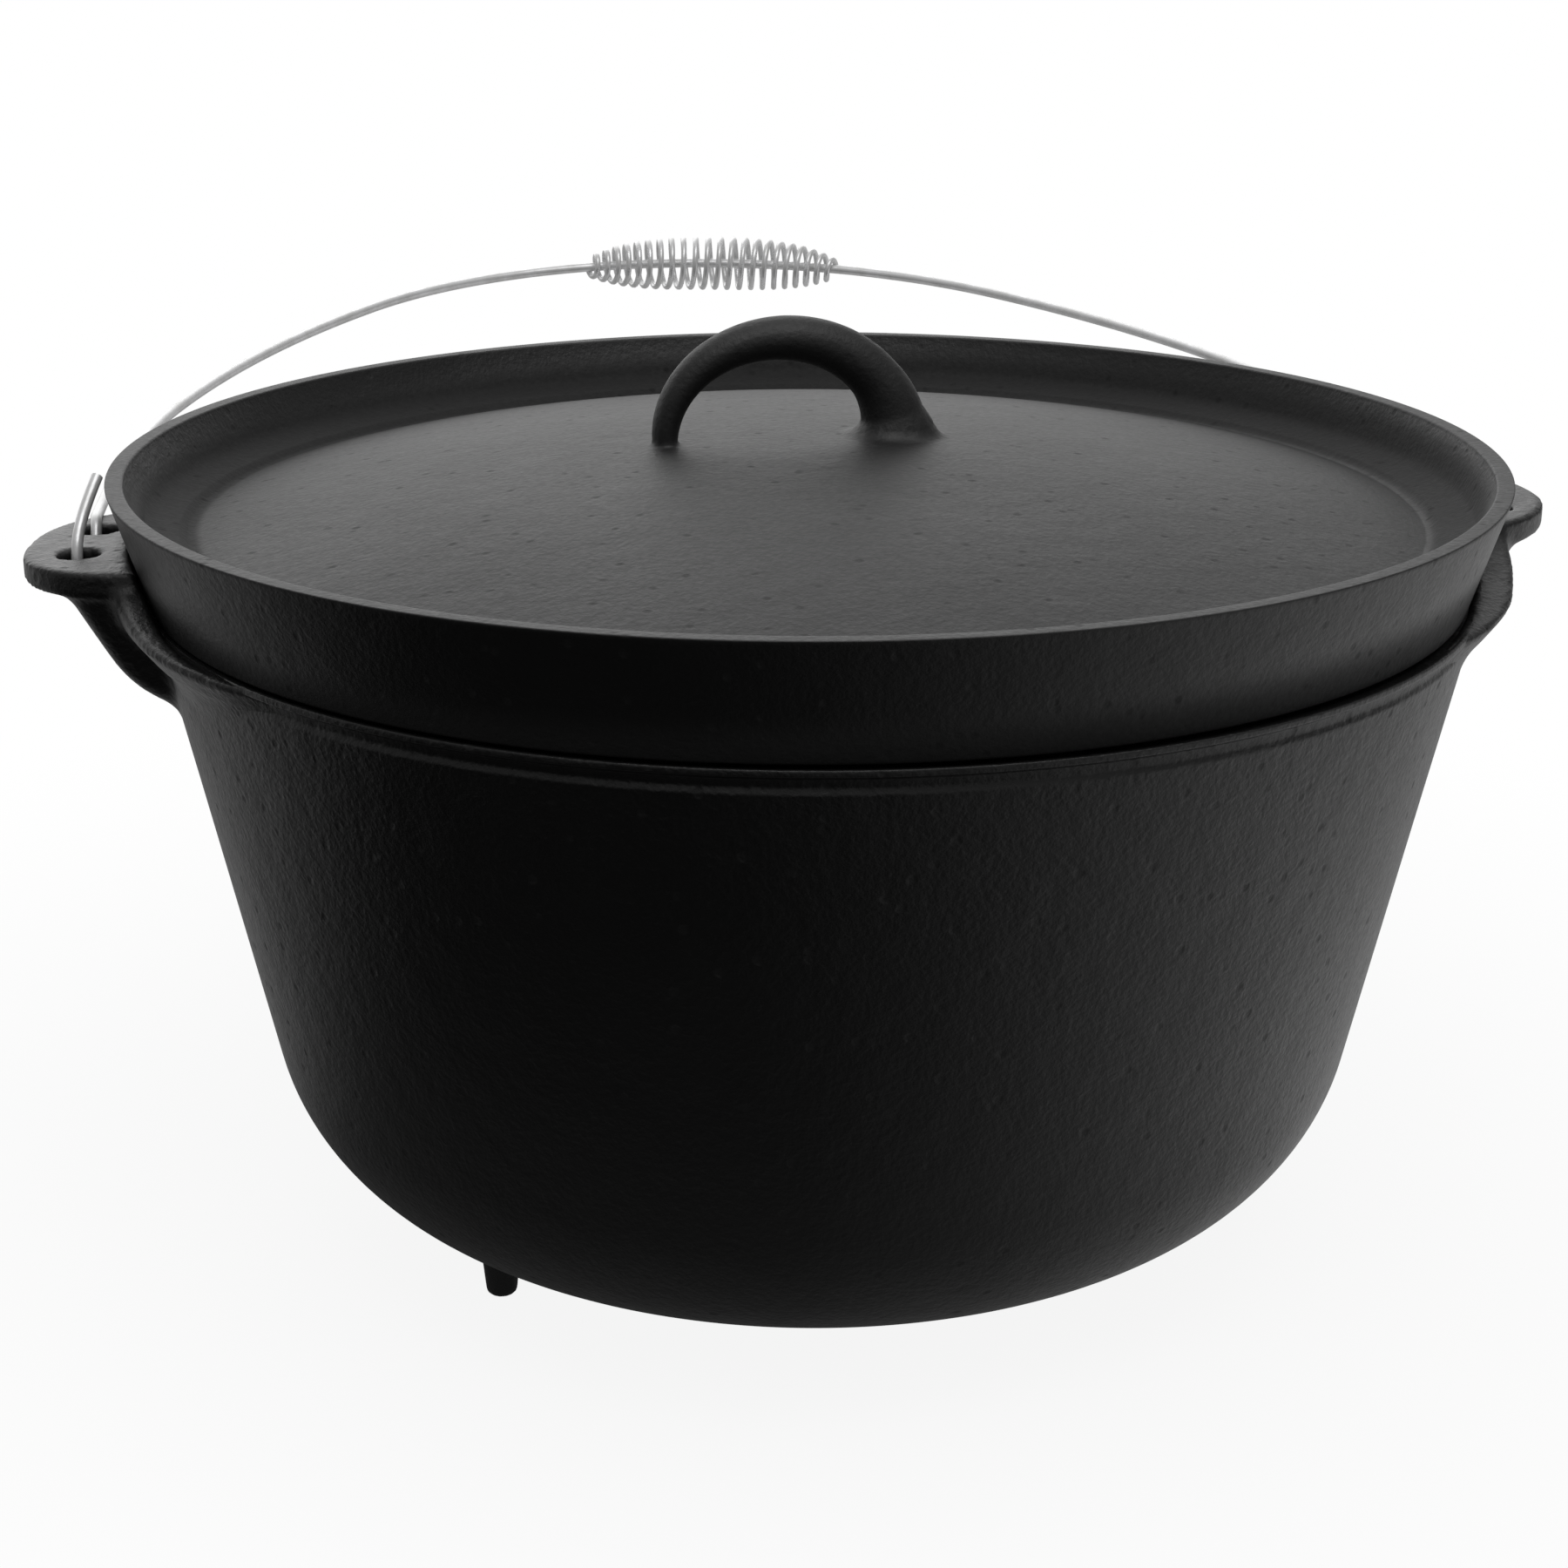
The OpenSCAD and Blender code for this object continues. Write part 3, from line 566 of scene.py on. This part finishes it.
shank_end, arm_foot = on_hook(HOOK_R, SHANK), on_arch(*foot)
shank_way = (shank_end - on_hook(HOOK_R, 0)) / SHANK
foot_way = on_arch(-math.cos(arm_end), math.sin(arm_end)) - on_arch(0, 0)
ease = np.linalg.norm(arm_foot - shank_end) * 0.38
bend = (shank_end, shank_end + ease * shank_way, arm_foot - ease * foot_way, arm_foot)
hook_angles = np.radians(np.arange(180, -1, -7.5))
half_bail = [on_hook(HOOK_R * math.cos(a), -HOOK_R * math.sin(a)) for a in hook_angles]
half_bail += [on_hook(HOOK_R, t) for t in np.linspace(2, SHANK - 1, 6)]
half_bail += [bezier(*bend, t) for t in np.linspace(0, 1, 17)]
half_bail += arch_arc(arm_c, ARM_R, arm_end, top_half, 60) + arch_arc(top_c, TOP_R, top_half, 0, 50)
other_half = [point * [-1, 1, 1] for point in (tail(**LEFT_TAIL) + half_bail)[-2::-1]]
bail_line = np.array(tail(**RIGHT_TAIL) + half_bail + other_half) + [BAIL_SHIFT, 0, 0]
bail_line[:, 0] -= BAIL_YAW * np.maximum(bail_line[:, 1] - ARM_START, 0)
near_hook = 1 - eased(bail_line[:, 1], HOOK_HALF, HOOK_FADE)
swept = LEFT_EAR["sweep"] * (np.clip(bail_line[:, 1], -HOOK_HALF, HOOK_HALF) + HOLE_Y)
bail_line[:, 0] += np.where(bail_line[:, 0] < 0, swept, -RIGHT_EAR["hole_in"]) * near_hook


def geometry_tree(name, sizes):
    """A geometry tree with one named input for each size, those inputs, and its output node."""
    tree = bpy.data.node_groups.new(name, "GeometryNodeTree")
    tree.interface.new_socket("Geometry", in_out="INPUT", socket_type="NodeSocketGeometry")
    tree.interface.new_socket("Geometry", in_out="OUTPUT", socket_type="NodeSocketGeometry")
    for size, value in sizes.items():
        kind = "NodeSocketInt" if isinstance(value, int) else "NodeSocketFloat"
        tree.interface.new_socket(size, in_out="INPUT", socket_type=kind)
    enter = tree.nodes.new("NodeGroupInput")
    leave = tree.nodes.new("NodeGroupOutput")
    given = {size: Flow(tree, enter.outputs[size]) for size in ["Geometry", *sizes]}
    return tree, given, leave


def draw_wire(tree, given, centre_line, leave, material):
    """The end of a geometry tree: a round wire along a line of edges, as one dressed mesh."""
    line = node(tree, "GeometryNodeMeshToCurve", {}, {"Mesh": centre_line})
    ring = node(tree, "GeometryNodeCurvePrimitiveCircle", {},
                {"Resolution": given["Sides"], "Radius": given["Wire diameter"] * 0.5})
    tube = node(tree, "GeometryNodeCurveToMesh", {},
                {"Curve": line, "Profile Curve": ring, "Fill Caps": True})
    smooth = node(tree, "GeometryNodeSetShadeSmooth", {}, {"Geometry": tube})
    whole = node(tree, "GeometryNodeRealizeInstances", {}, {"Geometry": smooth})
    dressed = node(tree, "GeometryNodeSetMaterial", {}, {"Geometry": whole, "Material": material})
    tree.links.new(dressed.socket, leave.inputs[0])


def grown(name, points, tree, sizes):
    """A plain mesh object from a geometry tree run on a line of points, its sizes set by identifier."""
    line = bpy.data.meshes.new(name + "_line")
    line.from_pydata(points, [(i, i + 1) for i in range(len(points) - 1)], [])
    seed = bpy.data.objects.new(name + "_seed", line)
    scene.collection.objects.link(seed)
    growth = seed.modifiers.new("growth", "NODES")
    growth.node_group = tree
    for item in tree.interface.items_tree:
        if item.in_out == "INPUT" and item.name in sizes:
            growth[item.identifier] = sizes[item.name]
    bpy.context.view_layer.update()
    made = bpy.data.meshes.new_from_object(seed.evaluated_get(bpy.context.evaluated_depsgraph_get()))
    made.name = name
    piece = bpy.data.objects.new(name, made)
    scene.collection.objects.link(piece)
    bpy.data.objects.remove(seed)
    return piece


def wire_finish(name, tone, rough, streak):
    """Drawn steel wire: bright, with faint die marks and dull patches in its plating."""
    material, tree, shader = new_material(name)
    where = node(tree, "ShaderNodeTexCoord", {}, {}, "Object")
    marks = noise(where, streak, 2.0)
    patch = ramp(noise(where, 160.0, 4.0, 0.6), 0.35, 0.7, kind="LINEAR")
    colour = mixed(patch, (tone, tone, tone * 1.01, 1), (tone * 0.8, tone * 0.8, tone * 0.79, 1))
    roughness = rough + patch * 0.1 + (marks - 0.5) * 0.08
    bump = node(tree, "ShaderNodeBump", {}, {"Strength": 0.25, "Distance": 0.00006, "Height": marks})
    tree.links.new(colour.socket, shader.inputs["Base Color"])
    tree.links.new(roughness.socket, shader.inputs["Roughness"])
    tree.links.new(bump.socket, shader.inputs["Normal"])
    shader.inputs["Metallic"].default_value = 0.4
    return material


bail_steel = wire_finish("drawn_bail_steel", tone=0.92, rough=0.3, streak=1500.0)
bail_sizes = {"Wire diameter": WIRE_D / 1000, "Sides": 16}
tree, given, leave = geometry_tree("wire_along_a_line", bail_sizes)
draw_wire(tree, given, given["Geometry"], leave, bail_steel)
bail_wire = grown("bail_wire", (bail_line * 0.001 + [0, AXIS_Y, 0]).tolist(), tree, bail_sizes)
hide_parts("bail")
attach(bail_wire, "bail")

# Grip. A spring wound as a barrel from thinner bright wire and threaded on the bail before its ends were
# bent: it hangs loose, slides along the arch and keeps the hand off the hot wire.
TURNS, GRIP_LEN, GRIP_WIRE, GRIP_MID, GRIP_EASE, GRIP_SHIFT = 22, 86.0, 1.9, 18.5, 0.1, 15.5
GRIP_LOOSE, BARREL, TURN_POINTS = 0.4, 1.5, 36
FULL_TURN = 2 * math.pi
end_r = WIRE_D / 2 + GRIP_LOOSE + GRIP_WIRE / 2
grip_sizes = {"Turns": float(TURNS), "Length": GRIP_LEN / 1000, "Wire diameter": GRIP_WIRE / 1000,
              "Mid radius": (GRIP_MID - GRIP_WIRE) / 2000, "End radius": end_r / 1000,
              "Closer ends": GRIP_EASE, "Arch radius": TOP_R / 1000,
              "Slid along": GRIP_SHIFT / 1000, "Sides": 10}
spring_points = TURNS * TURN_POINTS + 1
spring_steel = wire_finish("bright_spring_steel", tone=0.92, rough=0.26, streak=2200.0)


def wave(kind, angle):
    """The sine or cosine of an angle."""
    return node(angle.tree, "ShaderNodeMath", {"operation": kind}, {0: angle})


tree, given, leave = geometry_tree("barrel_spring_on_an_arch", grip_sizes)
index = node(tree, "GeometryNodeInputIndex", {}, {})
u = index / float(spring_points - 1) - 0.5
wind = u * given["Turns"] * FULL_TURN
bunched = u + given["Closer ends"] * wave("SINE", u * FULL_TURN) / FULL_TURN
about = (given["Length"] * bunched + given["Slid along"]) / given["Arch radius"]
belly = 1 - (u * u * 4) ** BARREL
radius = given["End radius"] + (given["Mid radius"] - given["End radius"]) * belly
out = given["Arch radius"] + radius * wave("COSINE", wind)
over = radius * wave("SINE", wind)
arch_w = out * wave("COSINE", about) + top_c[1] / 1000
behind = arch_w * math.sin(LEAN) + over * math.cos(LEAN)
place_x = out * wave("SINE", about) + BAIL_SHIFT / 1000 - (behind - ARM_START / 1000) * BAIL_YAW
place_y = behind + AXIS_Y
place_z = arch_w * math.cos(LEAN) - over * math.sin(LEAN) + (HINGE_Z + ARCH_UP) / 1000
spot = node(tree, "ShaderNodeCombineXYZ", {}, {"X": place_x, "Y": place_y, "Z": place_z})
wound = node(tree, "GeometryNodeSetPosition", {}, {"Geometry": given["Geometry"], "Position": spot})
draw_wire(tree, given, wound, leave, spring_steel)
grip_spring = grown("grip_spring", [(0, 0, 0.0001 * i) for i in range(spring_points)], tree, grip_sizes)
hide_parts("coil_grip")
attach(grip_spring, "bail")

# Floor and light. A plain pale floor that runs out to white, in a soft room that is brightest behind the pot
# and a little to its left. Mirrored in the iron, the floor is brighter on the right than on the left.
# One wide softbox hangs above the front. Levels go round from the front by the left to the front again.
AWAY = (math.sin(VIEW_TURN), math.cos(VIEW_TURN), 0.0)
RIGHT = (math.cos(VIEW_TURN), -math.sin(VIEW_TURN), 0.0)
FLOOR_GLOW = [(0.0, 0.02), (0.13, 0.005), (0.18, 0.02), (0.225, 0.2), (0.3, 0.54), (0.4, 0.5), (0.5, 0.62),
              (0.68, 0.8), (0.79, 0.82), (0.87, 0.46), (0.945, 0.12), (1.0, 0.02)]
ROOM_GLOW = [(0.0, 0.16), (0.15, 0.12), (0.3, 0.14), (0.38, 0.65), (0.42, 1.0), (0.5, 1.0), (0.545, 0.64),
             (0.59, 0.25), (0.7, 0.1), (0.85, 0.12), (1.0, 0.16)]
FLOOR_LEVEL, UNDER_LEVEL, ROOM_LEVEL, CEILING = 0.95, 0.09, 1.85, 0.5
FLOOR_HALF, SHADOW = 12.0, 0.1
LAMP_AT, LAMP_AIM = np.array([0.1, -0.45, 1.3]), np.array([0.0, AXIS_Y, 0.2])
LAMP_SIZE, LAMP_WATTS = (1.1, 0.8), 5.5
BLACK, WHITE = (0, 0, 0, 1), (1, 1, 1, 1)


def glow_round(heading, stops):
    """How bright the surroundings are in one heading."""
    azimuth = heading.maths("ARCTAN2", towards(heading, RIGHT), towards(heading, AWAY))
    return node(heading.tree, "ShaderNodeValToRGB", {"stops": stops}, {"Fac": azimuth / FULL_TURN + 0.5})


def ray(tree, kind):
    """Whether a ray is of one kind."""
    return node(tree, "ShaderNodeLightPath", {}, {}, kind)


floor_material, tree, shader = new_material("pale_floor")
tree.nodes.remove(shader)
where = node(tree, "ShaderNodeTexCoord", {}, {}, "Object")
far_out = node(tree, "ShaderNodeVectorMath", {"operation": "LENGTH"}, {0: where}, "Value")
heading = node(tree, "ShaderNodeVectorMath", {"operation": "NORMALIZE"}, {0: where})
near = ramp(far_out, 0.12, 0.5, (1.0, 0.0))
under = ramp(far_out, 0.17, 0.36, (1.0, 0.0))
matt = node(tree, "ShaderNodeBsdfDiffuse", {}, {"Color": (0.8, 0.8, 0.8, 1)})
dim_matt = node(tree, "ShaderNodeBsdfDiffuse", {}, {"Color": (0.3, 0.3, 0.3, 1)})
white = node(tree, "ShaderNodeEmission", {}, {"Color": WHITE, "Strength": 1.0})
glow = glow_round(heading, FLOOR_GLOW) * FLOOR_LEVEL + under * UNDER_LEVEL
glowing = node(tree, "ShaderNodeEmission", {}, {"Color": mixed(glow, BLACK, WHITE), "Strength": 1.0})
seen = node(tree, "ShaderNodeMixShader", {}, {0: near * SHADOW, 1: white, 2: matt})
unseen = node(tree, "ShaderNodeMixShader", {}, {0: ray(tree, "Is Glossy Ray"), 1: dim_matt, 2: glowing})
floor_look = node(tree, "ShaderNodeMixShader", {}, {0: ray(tree, "Is Camera Ray"), 1: unseen, 2: seen})
tree.links.new(floor_look.socket, tree.nodes["Material Output"].inputs["Surface"])
floor_mesh = bpy.data.meshes.new("floor")
floor_corners = [(-FLOOR_HALF, -FLOOR_HALF, 0), (FLOOR_HALF, -FLOOR_HALF, 0),
                 (FLOOR_HALF, FLOOR_HALF, 0), (-FLOOR_HALF, FLOOR_HALF, 0)]
floor_mesh.from_pydata(floor_corners, [], [(0, 1, 2, 3)])
floor_mesh.materials.append(floor_material)
floor = bpy.data.objects.new("floor", floor_mesh)
scene.collection.objects.link(floor)

world = bpy.data.worlds.new("room")
scene.world = world
world.use_nodes = True
tree = world.node_tree
backdrop = tree.nodes["Background"]
backdrop.inputs["Color"].default_value = WHITE
heading = node(tree, "ShaderNodeTexCoord", {}, {}, "Generated")
overhead = ramp(towards(heading, (0, 0, 1)), 0.55, 0.95)
level = glow_round(heading, ROOM_GLOW) * ROOM_LEVEL * (1 - overhead) + overhead * CEILING
shown = level + ray(tree, "Is Camera Ray") * (1 - level)
tree.links.new(shown.socket, backdrop.inputs["Strength"])

lamp = bpy.data.objects.new("overhead", bpy.data.lights.new("overhead", "AREA"))
scene.collection.objects.link(lamp)
lamp.data.shape = "RECTANGLE"
lamp.data.size, lamp.data.size_y = LAMP_SIZE
lamp.data.energy = LAMP_WATTS
lamp.location = LAMP_AT
aim_x, aim_y, aim_z = LAMP_AIM - LAMP_AT
aim_tilt, aim_turn = math.atan2(math.hypot(aim_x, aim_y), -aim_z), math.atan2(aim_y, aim_x) - math.pi / 2
lamp.rotation_euler = (aim_tilt, 0, aim_turn)
